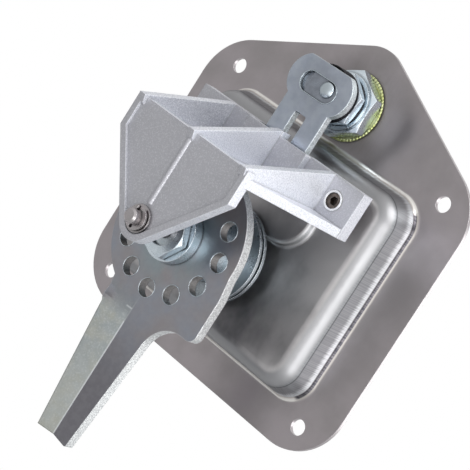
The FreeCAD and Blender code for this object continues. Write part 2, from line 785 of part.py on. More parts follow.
def obround(half_length, half_width, low, high):
    """Slab with straight sides along X and round ends, about the lock axis."""
    reach = half_length - half_width
    side = upright(0.0, 0.0, half_width, low, high)
    box = Part.makeBox(2.0 * reach, high - low, 2.0 * half_width, Vec(-reach, low, -half_width))
    left = side.copy()
    left.translate(Vec(-reach, 0, 0))
    right = side.copy()
    right.translate(Vec(reach, 0, 0))
    shape = box.fuse([left, right]).removeSplitter()
    shape.translate(Vec(0, 0, lock_height))
    return shape


def lock_tail():
    """Stepped tail of the plug that drives the cam."""
    top = cam_rise + tail_rise
    tail = obround(tail_half_length, tail_half_width, cam_rise, top)
    step = Part.makeBox(tail_half_length, tail_step, 4.0 * tail_half_width,
                        Vec(tail_step_x, top - tail_step, lock_height - 2.0 * tail_half_width))
    return tail.cut(step)


def cam_rivet():
    """Low crowned rivet head on the tail."""
    low = cam_rise + tail_rise
    return turned([(0.0, low), (rivet_r, low), (rivet_shoulder_r, low + rivet_shoulder),
                   (0.0, low + rivet_crown)], rivet_x, lock_height)


pieces = {
    "mounting_pan": mounting_pan,
    "shaft_bush": shaft_bush,
    "bush_ring": bush_ring_piece,
    "lower_disc": lower_disc,
    "thrust_washer": thrust_washer,
    "upper_disc": upper_disc,
    "hub_sleeve": hub_sleeve,
    "drive_shaft": drive_shaft,
    "fold_pin": fold_pin,
    "t_handle": t_handle,
    "lever_plate": lever_plate,
    "shaft_collar": shaft_collar,
    "shaft_nut": shaft_nut,
    "pull_rod": pull_rod,
    "e_clip": e_clip,
    "rod_washer": rod_washer,
    "bracket": bracket,
    "thread_insert": thread_insert,
    "set_screw": set_screw,
    "lock_housing": lock_housing,
    "lock_washer": lock_washer,
    "lock_nut": lock_nut,
    "lock_thin_nut": lock_thin_nut,
    "lock_spacer": lock_spacer,
    "lock_plug": lock_plug,
    "lock_cam": lock_cam,
    "lock_tail": lock_tail,
    "cam_rivet": cam_rivet,
}


def main():
    """Build every piece, move it to the frame and write it."""
    os.makedirs("parts", exist_ok=True)
    for name, build in pieces.items():
        shape = build()
        shape.translate(Vec(0, 0, -shaft_drop))
        solids = shape.Solids
        box = shape.BoundBox
        print(f"{name:14s} solids {len(solids)} valid {shape.isValid()} volume {shape.Volume:9.1f}"
              f" x {box.XMin:7.2f} {box.XMax:7.2f} y {box.YMin:6.2f} {box.YMax:6.2f}"
              f" z {box.ZMin:7.2f} {box.ZMax:7.2f}")
        if len(solids) == 1:
            shape = solids[0]
        shape.exportStep(os.path.join("parts", name + ".step"))


main()
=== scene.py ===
"""Looks of the folding T-handle tool box lock, built around its CAD frame.

The CAD nodes get procedural metal finishes, and all but the lock's washer and the cam's rivet keep
their shapes. Small work that repeats, such as the washer's teeth, the spacer's ridges, the burrs of
the drilled holes and the thread in the nut, is grown by geometry nodes. All sizes are in metres, in
the frame's own coordinates.
"""

import json
import logging
import math
from dataclasses import dataclass, replace
from enum import Enum
from typing import Any, Sequence, Union

import bmesh
import bpy
from mathutils import Matrix, Vector


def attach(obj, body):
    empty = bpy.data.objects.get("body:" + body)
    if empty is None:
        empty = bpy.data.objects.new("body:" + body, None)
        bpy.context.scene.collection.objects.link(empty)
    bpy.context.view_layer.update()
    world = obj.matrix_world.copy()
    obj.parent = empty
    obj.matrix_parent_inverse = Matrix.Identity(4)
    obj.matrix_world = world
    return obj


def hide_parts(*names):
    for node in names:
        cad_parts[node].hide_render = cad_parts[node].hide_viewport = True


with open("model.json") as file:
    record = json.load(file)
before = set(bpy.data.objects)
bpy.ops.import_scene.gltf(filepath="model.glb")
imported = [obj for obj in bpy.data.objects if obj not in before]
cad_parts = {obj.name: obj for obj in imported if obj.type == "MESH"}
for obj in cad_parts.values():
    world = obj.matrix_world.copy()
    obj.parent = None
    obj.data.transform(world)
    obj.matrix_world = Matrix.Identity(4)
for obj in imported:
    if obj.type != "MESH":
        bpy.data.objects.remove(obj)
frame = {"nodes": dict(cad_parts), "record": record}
log = logging.getLogger("tool_box_lock")

Colour = tuple[float, float, float]
Triple = tuple[float, float, float]
Pair = tuple[float, float]
Inputs = dict[Union[int, str], Any]
Socket = bpy.types.NodeSocket
Material = bpy.types.Material
Mesh = bpy.types.Mesh

SHAFT_Z = -0.0108
LOCK_Z = 0.0568
WHITE = (1.0, 1.0, 1.0)


class Body(Enum):
    """The bodies of the frame that this scene's own pieces ride on."""

    PLATE = "plate"
    SHAFT = "shaft"
    CAM = "cam"


class Run(Enum):
    """How the fine marks of a finish run, as stretches of a noise pattern along X, Y and Z."""

    EVEN = (1.0, 1.0, 1.0)
    ALONG_X = (0.04, 1.0, 1.0)
    DOWN_LONG_WALL = (0.012, 0.012, 1.0)
    DOWN_END_WALL = (1.0, 0.012, 0.012)
    ALONG_Z = (1.0, 1.0, 0.04)


class Size(Enum):
    """Kinds of named input of a geometry node tree."""

    NUMBER = "NodeSocketFloat"
    COUNT = "NodeSocketInt"
    PLACE = "NodeSocketVector"


class Nodes:
    """Any node tree under construction."""

    def __init__(self, tree: bpy.types.NodeTree) -> None:
        """Wrap the tree that nodes are added to."""
        self.tree = tree

    def node(self, kind: str, settings: dict[str, Any], inputs: Inputs) -> bpy.types.Node:
        """Make any node: its settings first, then the values or links of its sockets.

        Args:
            kind: the node's type name.
            settings: attributes of the node.
            inputs: a value, socket or field for each named or numbered input.

        Returns:
            The new node.
        """
        made = self.tree.nodes.new(kind)
        for key, value in settings.items():
            setattr(made, key, value)
        for key, value in inputs.items():
            self.feed(made.inputs[key], value)
        return made

    def feed(self, socket: Socket, value: Any) -> None:
        """Set or link one input socket.

        Args:
            socket: the input.
            value: a field or socket to link, or a value to set.
        """
        if isinstance(value, Field):
            value = value.socket
        if isinstance(value, Socket):
            self.tree.links.new(value, socket)
        elif isinstance(value, tuple) and socket.type == "RGBA":
            socket.default_value = (*value, 1.0)
        else:
            socket.default_value = value

    def coordinates(self, kind: str) -> Socket:
        """One kind of texture coordinate."""
        return self.node("ShaderNodeTexCoord", {}, {}).outputs[kind]

    def mixed(self, share: "Value", first: bpy.types.Node, second: bpy.types.Node) -> bpy.types.Node:
        """Mix two shader nodes; the share is how much of the second shows."""
        return self.node("ShaderNodeMixShader", {}, {0: share, 1: first.outputs[0], 2: second.outputs[0]})

    def ray(self, kind: str) -> "Field":
        """Whether a ray is of a kind: 1 if it is, else 0."""
        return Field(self, self.node("ShaderNodeLightPath", {}, {}).outputs[kind])


class Field:
    """A shader socket that takes part in Python arithmetic."""

    def __init__(self, owner: Nodes, socket: Socket) -> None:
        """Wrap one output socket of a tree."""
        self.owner = owner
        self.socket = socket

    def _math(self, operation: str, first: "Value", second: "Value") -> "Field":
        """The result of one Math node."""
        node = self.owner.node("ShaderNodeMath", {"operation": operation}, {0: first, 1: second})
        return Field(self.owner, node.outputs[0])

    def __add__(self, other: "Value") -> "Field":
        """Sum with a value or a field."""
        return self._math("ADD", self, other)

    def __radd__(self, other: "Value") -> "Field":
        """Sum with the value first."""
        return self._math("ADD", other, self)

    def __sub__(self, other: "Value") -> "Field":
        """Difference from a value or a field."""
        return self._math("SUBTRACT", self, other)

    def __rsub__(self, other: "Value") -> "Field":
        """Difference with the value first."""
        return self._math("SUBTRACT", other, self)

    def __mul__(self, other: "Value") -> "Field":
        """Product with a value or a field."""
        return self._math("MULTIPLY", self, other)

    def __rmul__(self, other: "Value") -> "Field":
        """Product with the value first."""
        return self._math("MULTIPLY", other, self)

    def __abs__(self) -> "Field":
        """Size without sign."""
        return self._math("ABSOLUTE", self, 0.0)

    def eased(self, low: float, high: float, start: float = 0.0, end: float = 1.0) -> "Field":
        """Smooth step of this field.

        Args:
            low: where the step starts.
            high: where the step ends.
            start: the result below the step.
            end: the result above the step.

        Returns:
            The stepped field.
        """
        node = self.owner.node("ShaderNodeMapRange", {"interpolation_type": "SMOOTHSTEP"},
                               {0: self, 1: low, 2: high, 3: start, 4: end})
        return Field(self.owner, node.outputs[0])

    def fading(self, low: float, high: float) -> "Field":
        """Smooth step down: 1 below the first value and 0 above the second."""
        return self.eased(low, high, 1.0, 0.0)

    def near(self, place: float, inner: float, outer: float) -> "Field":
        """1 within the inner distance of a value, and 0 beyond the outer distance."""
        return abs(self - place).fading(inner, outer)

    def spread(self, start: float, end: float) -> "Field":
        """Straight line from one value, where this field is 0, to another, where it is 1."""
        return self * (end - start) + start


Value = Union[Field, float]


@dataclass(frozen=True)
class Pattern:
    """A noise pattern on Object coordinates, and the smooth step that sharpens it."""

    scale: float
    detail: float = 3.0
    shift: float = 0.0
    cut: Pair = (0.32, 0.68)
    run: Triple = Run.EVEN.value


class Shader(Nodes):
    """One procedural material under construction, with its tone, roughness and normal so far."""

    ray_samples: int = 6
    noise_rough: float = 0.55
    edge_cut: Pair = (0.80, 0.99)
    crease_cut: Pair = (0.45, 0.90)
    pit_cut: Pair = (0.10, 0.32)

    def __init__(self, name: str) -> None:
        """Start a material with a Principled shader.

        Args:
            name: the material's name.
        """
        self.material = bpy.data.materials.new(name)
        self.material.use_nodes = True
        super().__init__(self.material.node_tree)
        self.surface = next(n for n in self.tree.nodes if n.type == "BSDF_PRINCIPLED")
        self.output = next(n for n in self.tree.nodes if n.type == "OUTPUT_MATERIAL")
        self.tone: Any = WHITE
        self.rough: Value = 1.0
        self.normal: Any = None

    def noise(self, pattern: Pattern) -> Field:
        """Soft noise between 0 and 1.

        Args:
            pattern: its scale in patches to a metre, detail, shift and stretches.

        Returns:
            The noise as a field, before the pattern's step.
        """
        mapped = self.node("ShaderNodeMapping", {}, {"Vector": self.coordinates("Object"),
                                                     "Location": (pattern.shift,) * 3, "Scale": pattern.run})
        made = self.node("ShaderNodeTexNoise", {}, {"Vector": mapped.outputs[0], "Scale": pattern.scale,
                                                    "Detail": pattern.detail, "Roughness": self.noise_rough})
        return Field(self, made.outputs[0])

    def patches(self, pattern: Pattern) -> Field:
        """A noise pattern after its step."""
        return self.noise(pattern).eased(*pattern.cut)

    def pits(self, scale: float) -> Field:
        """Small pits, so many to a metre: 1 in the middle of each and 0 between them."""
        made = self.node("ShaderNodeTexVoronoi", {"feature": "F1"}, {"Vector": self.coordinates("Object"),
                                                                     "Scale": scale, "Randomness": 1.0})
        return Field(self, made.outputs["Distance"]).fading(*self.pit_cut)

    def _axis(self, kind: str, axis: str) -> Field:
        """The share of one axis in a texture coordinate."""
        parts = self.node("ShaderNodeSeparateXYZ", {}, {0: self.coordinates(kind)})
        return Field(self, parts.outputs[axis])

    def facing(self, axis: str) -> Field:
        """How far the surface faces along an axis: 1 for its plus side and -1 for its minus side."""
        return self._axis("Normal", axis)

    def facing_back(self) -> Field:
        """How far the surface faces either way along Y: 1 for flats and 0 for edges and walls."""
        return abs(self.facing("Y"))

    def along(self, axis: str) -> Field:
        """A point's place along one axis of the part, in metres."""
        return self._axis("Object", axis)

    def reach(self, axis_z: float) -> Field:
        """Distance from an axis along Y at X = 0.

        Args:
            axis_z: the axis's place along Z.

        Returns:
            The distance as a field, in metres.
        """
        level = self.node("ShaderNodeVectorMath", {"operation": "MULTIPLY_ADD"},
                          {0: self.coordinates("Object"), 1: (1.0, 0.0, 1.0), 2: (0.0, 0.0, -axis_z)})
        length = self.node("ShaderNodeVectorMath", {"operation": "LENGTH"}, {0: level.outputs[0]})
        return Field(self, length.outputs["Value"])

    def round_edges(self, radius: float) -> Field:
        """Make sharp edges look rounded, and find them.

        Args:
            radius: the rounding, in metres.

        Returns:
            1 at sharp edges and 0 away from them.
        """
        bevel = self.node("ShaderNodeBevel", {"samples": self.ray_samples}, {"Radius": radius})
        self.normal = bevel.outputs[0]
        true = self.node("ShaderNodeNewGeometry", {}, {})
        same = self.node("ShaderNodeVectorMath", {"operation": "DOT_PRODUCT"},
                         {0: self.normal, 1: true.outputs["Normal"]})
        return Field(self, same.outputs["Value"]).fading(*self.edge_cut)

    def creases(self, reach: float) -> Field:
        """Inner corners: 1 deep in them and 0 further out than the reach, in metres."""
        made = self.node("ShaderNodeAmbientOcclusion", {"samples": self.ray_samples}, {"Distance": reach})
        return Field(self, made.outputs["AO"]).fading(*self.crease_cut)

    def blend(self, share: Value, first: Any, second: Any) -> Socket:
        """Blend two colours; the share is how much of the second shows."""
        made = self.node("ShaderNodeMix", {"data_type": "RGBA"}, {0: share, 6: first, 7: second})
        return made.outputs[2]

    def tint(self, share: Value, colour: Any) -> None:
        """Blend a colour over the tone so far."""
        self.tone = self.blend(share, self.tone, colour)

    def roughen(self, more: Field) -> None:
        """Add to the roughness so far."""
        self.rough = self.rough + more

    def bump(self, height: Field, lift: float) -> None:
        """Raise the surface by a height between 0 and 1; the lift is the height of 1, in metres."""
        made = self.node("ShaderNodeBump", {}, {"Height": height, "Distance": lift, "Strength": 1.0,
                                                "Normal": self.normal})
        self.normal = made.outputs[0]

    def done(self, inputs: Inputs) -> Material:
        """Set the Principled shader's sockets.

        Args:
            inputs: a value, socket or field for each input.

        Returns:
            The finished material.
        """
        for key, value in inputs.items():
            self.feed(self.surface.inputs[key], value)
        return self.material


@dataclass(frozen=True)
class Metal:
    """A metal finish: clouds, fine marks, rounded and worn edges, and painted shade in the corners."""

    name: str
    colour: Colour
    clouded: Colour
    roughness: float
    span: float = 0.14
    metallic: float = 1.0
    clouds: float = 60.0
    cloud_detail: float = 4.0
    cloud_rough: float = 0.3
    marks: float = 1200.0
    mark_detail: float = 2.0
    mark_shift: float = 0.31
    mark_rough: float = 0.4
    run: Run = Run.EVEN
    marks_lift: float = 0.000004
    edge_r: float = 0.0003
    worn: Colour = (0.80, 0.80, 0.80)
    wear: float = 0.45
    wear_patches: Pattern = Pattern(700.0, 3.0, 0.77, (0.10, 0.5))
    crease: float = 0.0011
    # Colour and share of the painted shade in inner corners.
    crease_shade: Colour = (0.05, 0.05, 0.055)
    crease_shade_share: float = 0.65

    def build(self) -> Material:
        """Make the material.

        Returns:
            The material of this finish.
        """
        shader = Shader(self.name)
        cloud = shader.patches(Pattern(self.clouds, self.cloud_detail))
        mark = shader.noise(Pattern(self.marks, self.mark_detail, self.mark_shift, run=self.run.value))
        uneven = (cloud.spread(-self.cloud_rough, self.cloud_rough)
                  + mark.spread(-self.mark_rough, self.mark_rough))
        shader.tone = shader.blend(cloud, self.colour, self.clouded)
        shader.rough = self.roughness + self.span * uneven
        edge = shader.round_edges(self.edge_r) * shader.patches(self.wear_patches)
        shader.tint(edge * self.wear, self.worn)
        shader.bump(mark, self.marks_lift)
        self.detail(shader)
        # Painted shade: inner corners and creases darkened by ambient occlusion.
        shader.tint(shader.creases(self.crease) * self.crease_shade_share, self.crease_shade)
        return shader.done({"Base Color": shader.tone, "Metallic": self.metallic, "Roughness": shader.rough,
                            "Normal": shader.normal})

    def detail(self, shader: Shader) -> None:
        """Add what a richer finish has; plain metal has nothing more."""


@dataclass(frozen=True)
class DrawnSheet(Metal):
    """Pressed stainless sheet with drawing marks down its walls and painted light and shade on its floor,
    wall feet and flange; names in _y are depths behind the flange.
    """

    floor_y: float = 0.0145
    panel_y: float = 0.0175
    floor_band: Pair = (0.00016, 0.0008)
    floor_face: Pair = (0.90, 0.995)
    floor_tone: Colour = (0.70, 0.68, 0.68)
    floor_shade: Colour = (0.15, 0.15, 0.16)
    floor_cloud: Pattern = Pattern(60.0, 4.0, 0.61, (0.3, 0.7), (1.0, 1.0, 0.7))
    cloud_share: float = 0.46
    lit_z: Pair = (-0.020, 0.036)
    lit_share: float = 0.95
    floor_light_x: Pair = (0.014, 0.038)
    side_light_share: float = 0.38
    deep_y: Pair = (0.0085, 0.0140)
    deep_rough: float = 0.05
    shoulder_y: float = 0.0112
    shoulder_band: Pair = (0.00036, 0.0018)
    shoulder_rough: float = 0.06
    bend_y: float = 0.0091
    bend_from_y: Pair = (0.0081, 0.0101)
    bend_line: Pair = (0.00008, 0.0004)
    bend_share: float = 0.6
    bend_tone: Colour = (0.335, 0.335, 0.345)
    wall_face: Pair = (0.25, 0.50)
    wall_turn: Pair = (-0.1, 0.1)
    wall_y: Pair = (0.0005, 0.0020)
    wall_tone: Colour = (0.368, 0.385, 0.400)
    streaks: Pattern = Pattern(3000.0, 1.0, 0.13, (0.36, 0.64))
    streak_lift: float = 0.0000025
    streak_rough: Pair = (-0.02, 0.08)
    scuff: Colour = (0.15, 0.15, 0.155)
    scuffed: Pair = (0.04, 0.30)
    above_y: Pair = (0.00005, 0.00020)
    highlight_band_y: Pair = (0.0024, 0.0048)
    highlight_band_jitter: float = 0.00025
    highlight_band_share: Pair = (0.95, 0.73)
    highlight_band_tone: Colour = (0.90, 0.95, 0.97)
    jags: Pattern = Pattern(2100.0, 1.0, 0.37, (0.42, 0.58))
    shade_line_y: Pair = (0.0013, 0.0019)
    shade_line_share: Pair = (0.79, 0.99)
    shade_line_tone: Colour = (0.055, 0.055, 0.065)
    foot_highlight_share: float = 0.9
    foot_highlight_tone: Colour = (0.86, 0.84, 0.80)
    rim_y: Pair = (0.00025, 0.0005)
    rim_highlight_share: float = 0.75
    rim_highlight_tone: Colour = (0.48, 0.46, 0.42)
    flange_y: Pair = (0.0001, 0.0004)
    lock_reach: Pair = (0.015, 0.027)
    lock_shade: Colour = (0.24, 0.23, 0.23)
    lock_share: float = 0.30
    lock_rough: float = 0.35

    def detail(self, shader: Shader) -> None:
        """Paint light and shade on the pan's floor, mark its walls, and paint shade on the flange near the
        lock and along the bend.

        Args:
            shader: the material under construction.
        """
        depth = shader.along("Y")
        self.shade_floor(shader, depth)
        self.mark_walls(shader, depth)
        # Painted shade: the flange darker round the lock's washer.
        by_lock = shader.reach(LOCK_Z).fading(*self.lock_reach) * depth.fading(*self.flange_y)
        shader.tint(by_lock * self.lock_share, self.lock_shade)
        # Painted shade: a thin dark line along the bend between the shoulder and the wall.
        shader.tint(depth.near(self.bend_y, *self.bend_line) * self.bend_share, self.shade_line_tone)
        shader.roughen(by_lock * self.lock_rough)

    def shade_floor(self, shader: Shader, depth: Field) -> None:
        """Give the pan's floor and raised panel random clouds with painted light and shade, lighter toward
        the lock and the side walls, and darken everything deeper than the bend.

        Args:
            shader: the material under construction.
            depth: how far a point lies behind the flange.
        """
        # Painted light and shade: the floor runs from floor_shade to floor_tone, lighter toward the lock and
        # toward its side walls; the clouds on top are random tone.
        lit = shader.along("Z").eased(*self.lit_z, 0.0, self.lit_share)
        side = abs(shader.along("X")).eased(*self.floor_light_x, 0.0, self.side_light_share)
        cloud = shader.patches(self.floor_cloud) * self.cloud_share
        patch = shader.blend(cloud + lit + side, self.floor_shade, self.floor_tone)
        back = depth.near(self.floor_y, *self.floor_band) + depth.near(self.panel_y, *self.floor_band)
        shader.tint(depth.eased(*self.bend_from_y), self.bend_tone)
        shader.tint(back * shader.facing_back().eased(*self.floor_face), patch)
        shader.roughen(depth.eased(*self.deep_y) * self.deep_rough)
        shader.roughen(depth.near(self.shoulder_y, *self.shoulder_band) * self.shoulder_rough)

    def mark_walls(self, shader: Shader, depth: Field) -> None:
        """Streak the walls, and paint at their foot a highlight band, a dark line of shade and a pale
        highlight rim.

        Args:
            shader: the material under construction.
            depth: how far a point lies behind the flange.
        """
        wall = shader.facing_back().fading(*self.wall_face) * depth.eased(*self.wall_y)
        long_wall = (abs(shader.facing("X")) - abs(shader.facing("Z"))).eased(*self.wall_turn)
        streak = self.streaked(shader, self.streaks, long_wall)
        jag = self.streaked(shader, self.jags, long_wall)
        shader.tint(wall, self.wall_tone)
        shader.tint(wall * streak.spread(*self.scuffed), self.scuff)
        above = depth.eased(*self.above_y)
        # Painted highlight: a bright band along the foot fillet of every wall, jagged by the streaks.
        jittered = depth + streak.spread(-self.highlight_band_jitter, self.highlight_band_jitter)
        bright = above * jittered.fading(*self.highlight_band_y) * depth.eased(*self.shade_line_y)
        shader.tint(bright * streak.spread(*self.highlight_band_share), self.highlight_band_tone)
        # Painted highlight: a pale band low on the end walls.
        low = above * depth.fading(*self.shade_line_y)
        shader.tint(low * (1.0 - long_wall) * self.foot_highlight_share, self.foot_highlight_tone)
        # Painted shade: a dark jagged line low on the long walls, in the corner of the foot.
        torn_edge_and_foot_shade = low * depth.eased(*self.rim_y) * long_wall
        shader.tint(torn_edge_and_foot_shade * jag.spread(*self.shade_line_share), self.shade_line_tone)
        # Painted highlight: a pale line at the very foot of the long walls.
        shader.tint(above * long_wall * depth.fading(*self.rim_y) * self.rim_highlight_share, self.rim_highlight_tone)
        shader.bump(streak * wall, self.streak_lift)
        shader.roughen(wall * streak.spread(*self.streak_rough))

    def streaked(self, shader: Shader, pattern: Pattern, long_wall: Field) -> Field:
        """Marks that run down the pan's walls and change only along them.

        Args:
            shader: the material under construction.
            pattern: the marks' pattern, without its run.
            long_wall: 1 on the two long walls and 0 on the others.

        Returns:
            The marks as a field.
        """
        end_marks = shader.noise(replace(pattern, run=Run.DOWN_END_WALL.value))
        long_marks = shader.noise(replace(pattern, run=Run.DOWN_LONG_WALL.value))
        return (end_marks + (long_marks - end_marks) * long_wall).eased(*pattern.cut)


@dataclass(frozen=True)
class ShearedPlate(Metal):
    """Zinc-plated plate whose cut edges are bright and rough, with painted shade in the bores near its axis.
    """

    axis_z: float = SHAFT_Z
    tint: Colour = (0.29, 0.355, 0.38)
    tint_r: float = 0.024
    tint_core: float = 0.3
    tint_cloud: Pattern = Pattern(90.0, 3.0, 0.41, (0.3, 0.6))
    spangle: Pattern = Pattern(420.0, 3.0, 0.67, (0.40, 0.62))
    spangled: float = 0.22
    side_face: Pair = (0.35, 0.60)
    side_rough: float = 0.10
    sheared: Colour = (0.76, 0.78, 0.78)
    torn_edge_and_foot_shade: Colour = (0.50, 0.51, 0.52)
    grain: Pattern = Pattern(2300.0, 3.0, 0.23, (0.38, 0.62), (1.0, 0.6, 1.0))
    grain_lift: float = 0.00003
    bore_shade: Colour = (0.20, 0.19, 0.185)
    bore_shade_r: float = 0.0255
    bore_shade_ease: float = 0.0006
    bore_shade_share: float = 0.80

    def detail(self, shader: Shader) -> None:
        """Tint the plate near its axis, add the torn grain of its cut edges and paint shade in the bores near
        the axis.

        Args:
            shader: the material under construction.
        """
        side = shader.facing_back().fading(*self.side_face)
        reach = shader.reach(self.axis_z)
        middle = reach.fading(self.tint_core * self.tint_r, self.tint_r)
        shader.tint(middle * shader.patches(self.tint_cloud), self.tint)
        shader.tint(shader.patches(self.spangle) * self.spangled, self.torn_edge_and_foot_shade)
        grain = shader.noise(self.grain)
        edge_tone = shader.blend(grain.eased(*self.grain.cut), self.torn_edge_and_foot_shade, self.sheared)
        # Painted shade: cut faces within the bore radius of the axis, the holes' walls, are darkened.
        inside = reach.fading(self.bore_shade_r, self.bore_shade_r + self.bore_shade_ease)
        shader.tint(side, shader.blend(inside * self.bore_shade_share, edge_tone, self.bore_shade))
        shader.bump(grain * side, self.grain_lift)
        shader.roughen(side * self.side_rough)


@dataclass(frozen=True)
class FoldedPlate(ShearedPlate):
    """Sheared plate with an arm that is folded along its length; one half of the arm is raised."""

    back_face: Pair = (0.65, 0.80)
    arm_shade: Colour = (0.21, 0.205, 0.225)
    arm_shade_z: Pair = (-0.070, -0.036)
    arm_shade_face: Pair = (0.93, 0.99)
    arm_shade_share: float = 0.95
    fold_x: Pair = (-0.0008, -0.0005)
    fold_z: Pair = (-0.047, -0.033)
    fold_slope: float = math.tan(math.radians(27.0))
    slope_x: Pair = (-0.0008, -0.0002)
    slope_ease: float = 0.002
    raised_z: Pair = (-0.085, -0.045)
    raised_near: Colour = (0.225, 0.246, 0.25)
    raised_far: Colour = (0.305, 0.322, 0.315)
    raised_warm: Colour = (0.30, 0.30, 0.26)
    mottle: Pattern = Pattern(110.0, 5.0, 0.83, (0.42, 0.66))
    mottled: float = 0.7
    speck: Pattern = Pattern(1500.0, 2.0, 0.19, (0.50, 0.68))
    specked: float = 0.22
    speckle: Colour = (0.46, 0.48, 0.47)
    crease_highlight_tone: Colour = (0.80, 0.84, 0.85)
    line_x: float = -0.0006
    line_band: Pair = (0.0001, 0.0003)
    line_share: float = 0.35
    step_x: Pair = (0.0014, 0.0022)
    step_z: float = -0.0412
    step_band: Pair = (0.0001, 0.0004)
    step_share: float = 0.4

    def detail(self, shader: Shader) -> None:
        """Paint shade on the flat half of the arm, mottle the raised half, paint highlights along the crease
        and across the fold's step, and ease the start of the fold.

        Args:
            shader: the material under construction.
        """
        height = shader.along("Z")
        across = shader.along("X")
        back = shader.facing("Y").eased(*self.back_face)
        # Painted shade: the flat faces of the arm darker toward its tip.
        arm_shade = height.fading(*self.arm_shade_z) * shader.facing_back().eased(*self.arm_shade_face)
        shader.tint(arm_shade * self.arm_shade_share, self.arm_shade)
        begun = height.fading(*self.fold_z)
        beyond = across.eased(*self.fold_x)
        raised = beyond * begun * back
        pale = shader.blend(height.eased(*self.raised_z), self.raised_far, self.raised_near)
        shader.tint(raised, shader.blend(shader.patches(self.mottle) * self.mottled, pale, self.raised_warm))
        shader.tint(raised * shader.patches(self.speck) * self.specked, self.speckle)
        # Painted highlight: a pale line along the crease and a short one across the fold's step.
        line = across.near(self.line_x, *self.line_band) * begun * back
        shader.tint(line * self.line_share, self.crease_highlight_tone)
        step = height.near(self.step_z, *self.step_band) * back * beyond * across.fading(*self.step_x)
        shader.tint(step * self.step_share, self.crease_highlight_tone)
        start, end = self.fold_z
        zone = height.eased(start, start + self.slope_ease) * height.fading(end - self.slope_ease, end) * back
        self.ease_fold(shader, begun * across.eased(*self.slope_x), zone)
        super().detail(shader)

    def ease_fold(self, shader: Shader, folded: Field, zone: Field) -> None:
        """Turn the shading normal slowly from the flat plate to the raised half.

        Args:
            shader: the material under construction.
            folded: how far the fold has opened, 0 to 1.
            zone: where the turned normal is used, 0 to 1.
        """
        aimed = shader.node("ShaderNodeCombineXYZ", {}, {"X": folded * -self.fold_slope, "Y": 1.0})
        world = shader.node("ShaderNodeVectorTransform",
                            {"vector_type": "NORMAL", "convert_from": "OBJECT", "convert_to": "WORLD"},
                            {0: aimed.outputs[0]})
        turned = shader.node("ShaderNodeMix", {"data_type": "VECTOR"},
                             {0: zone, 4: shader.normal, 5: world.outputs[0]})
        shader.normal = turned.outputs[1]


@dataclass(frozen=True)
class BarrelPlate(Metal):
    """Chrome on the lock's face, and painted shade on the thread behind the plate."""

    thread_y: Pair = (0.001, 0.0012)
    thread: Colour = (0.07, 0.07, 0.075)
    thread_rough: float = 0.2

    def detail(self, shader: Shader) -> None:
        """Darken the threaded part with painted shade.

        Args:
            shader: the material under construction.
        """
        behind = shader.along("Y").eased(*self.thread_y)
        # Painted shade: the thread behind the plate made near-black.
        shader.tint(behind, self.thread)
        shader.roughen(behind * self.thread_rough)


@dataclass(frozen=True)
class Casting(Metal):
    """Blasted cast aluminium with a fine even grain, a few pits and painted light on its side faces."""

    flat_face: Pair = (0.6, 0.95)
    flat_grain: float = 0.30
    side_face: Pair = (0.2, 0.6)
    side_light_share: float = 0.85
    side_light: Colour = (0.82, 0.84, 0.90)
    side_light_x: Pair = (-0.004, 0.012)
    side_light_far: float = 0.65
    grain: Pattern = Pattern(2100.0, 2.0, 0.53, (0.50, 0.66))
    grain_lift: float = 0.00008
    glint: Colour = (0.94, 0.95, 0.98)
    glint_share: float = 0.70
    dark: Colour = (0.38, 0.40, 0.44)
    dark_cut: Pair = (0.36, 0.48)
    dark_share: float = 0.30
    pit: float = 260.0
    pit_patches: Pattern = Pattern(90.0, 2.0, 0.9, (0.52, 0.62))
    pit_tone: Colour = (0.34, 0.34, 0.37)
    pit_share: float = 0.12
    pit_lift: float = 0.00003

    def detail(self, shader: Shader) -> None:
        """Paint light on the side faces, most toward minus X, and add the grain, stronger on the ribs than on
        the top plate, and the pits.

        Args:
            shader: the material under construction.
        """
        flat = shader.facing_back().eased(*self.flat_face, 1.0, self.flat_grain)
        side = shader.facing_back().eased(*self.side_face, self.side_light_share, 0.0)
        # Painted light: side faces paler, most toward minus X.
        shader.tint(side * shader.along("X").eased(*self.side_light_x, 1.0, self.side_light_far), self.side_light)
        grain = shader.noise(self.grain)
        shader.tint(grain.fading(*self.dark_cut) * flat * self.dark_share, self.dark)
        shader.tint(grain.eased(*self.grain.cut) * flat * self.glint_share, self.glint)
        pits = shader.pits(self.pit) * shader.patches(self.pit_patches)
        shader.tint(pits * self.pit_share, self.pit_tone)
        shader.bump(grain * flat, self.grain_lift)
        shader.bump(1.0 - pits, self.pit_lift)


SHEET = DrawnSheet("satin_stainless", (0.43, 0.395, 0.41), (0.36, 0.335, 0.34), 0.34, 0.12, clouds=45.0,
                   marks=1500.0, run=Run.ALONG_Z, marks_lift=0.0000015, edge_r=0.0004)
ZINC = Metal("bright_zinc", (0.57, 0.63, 0.67), (0.49, 0.55, 0.59), 0.27, clouds=140.0,
             worn=(0.86, 0.90, 0.93), wear=0.6)
LEVER = FoldedPlate("zinc_lever", (0.315, 0.335, 0.385), (0.335, 0.315, 0.325), 0.36, 0.16, clouds=62.0,
                    marks=1800.0, marks_lift=0.000006, edge_r=0.0005, wear=0.6, spangled=0.07)
CAM_ZINC = ShearedPlate("zinc_cam", (0.45, 0.49, 0.57), (0.37, 0.41, 0.48), 0.34, clouds=160.0,
                        edge_r=0.0005, wear=0.9, worn=(0.80, 0.88, 0.90), sheared=(0.74, 0.80, 0.82),
                        torn_edge_and_foot_shade=(0.50, 0.55, 0.58), grain_lift=0.00002, axis_z=LOCK_Z, tint=(0.34, 0.37, 0.43),
                        tint_r=0.016, bore_shade_r=0.0)
NUT = Metal("bright_nut", (0.74, 0.82, 0.88), (0.64, 0.72, 0.78), 0.28, clouds=180.0,
            worn=(0.90, 0.94, 0.96), wear=0.7)
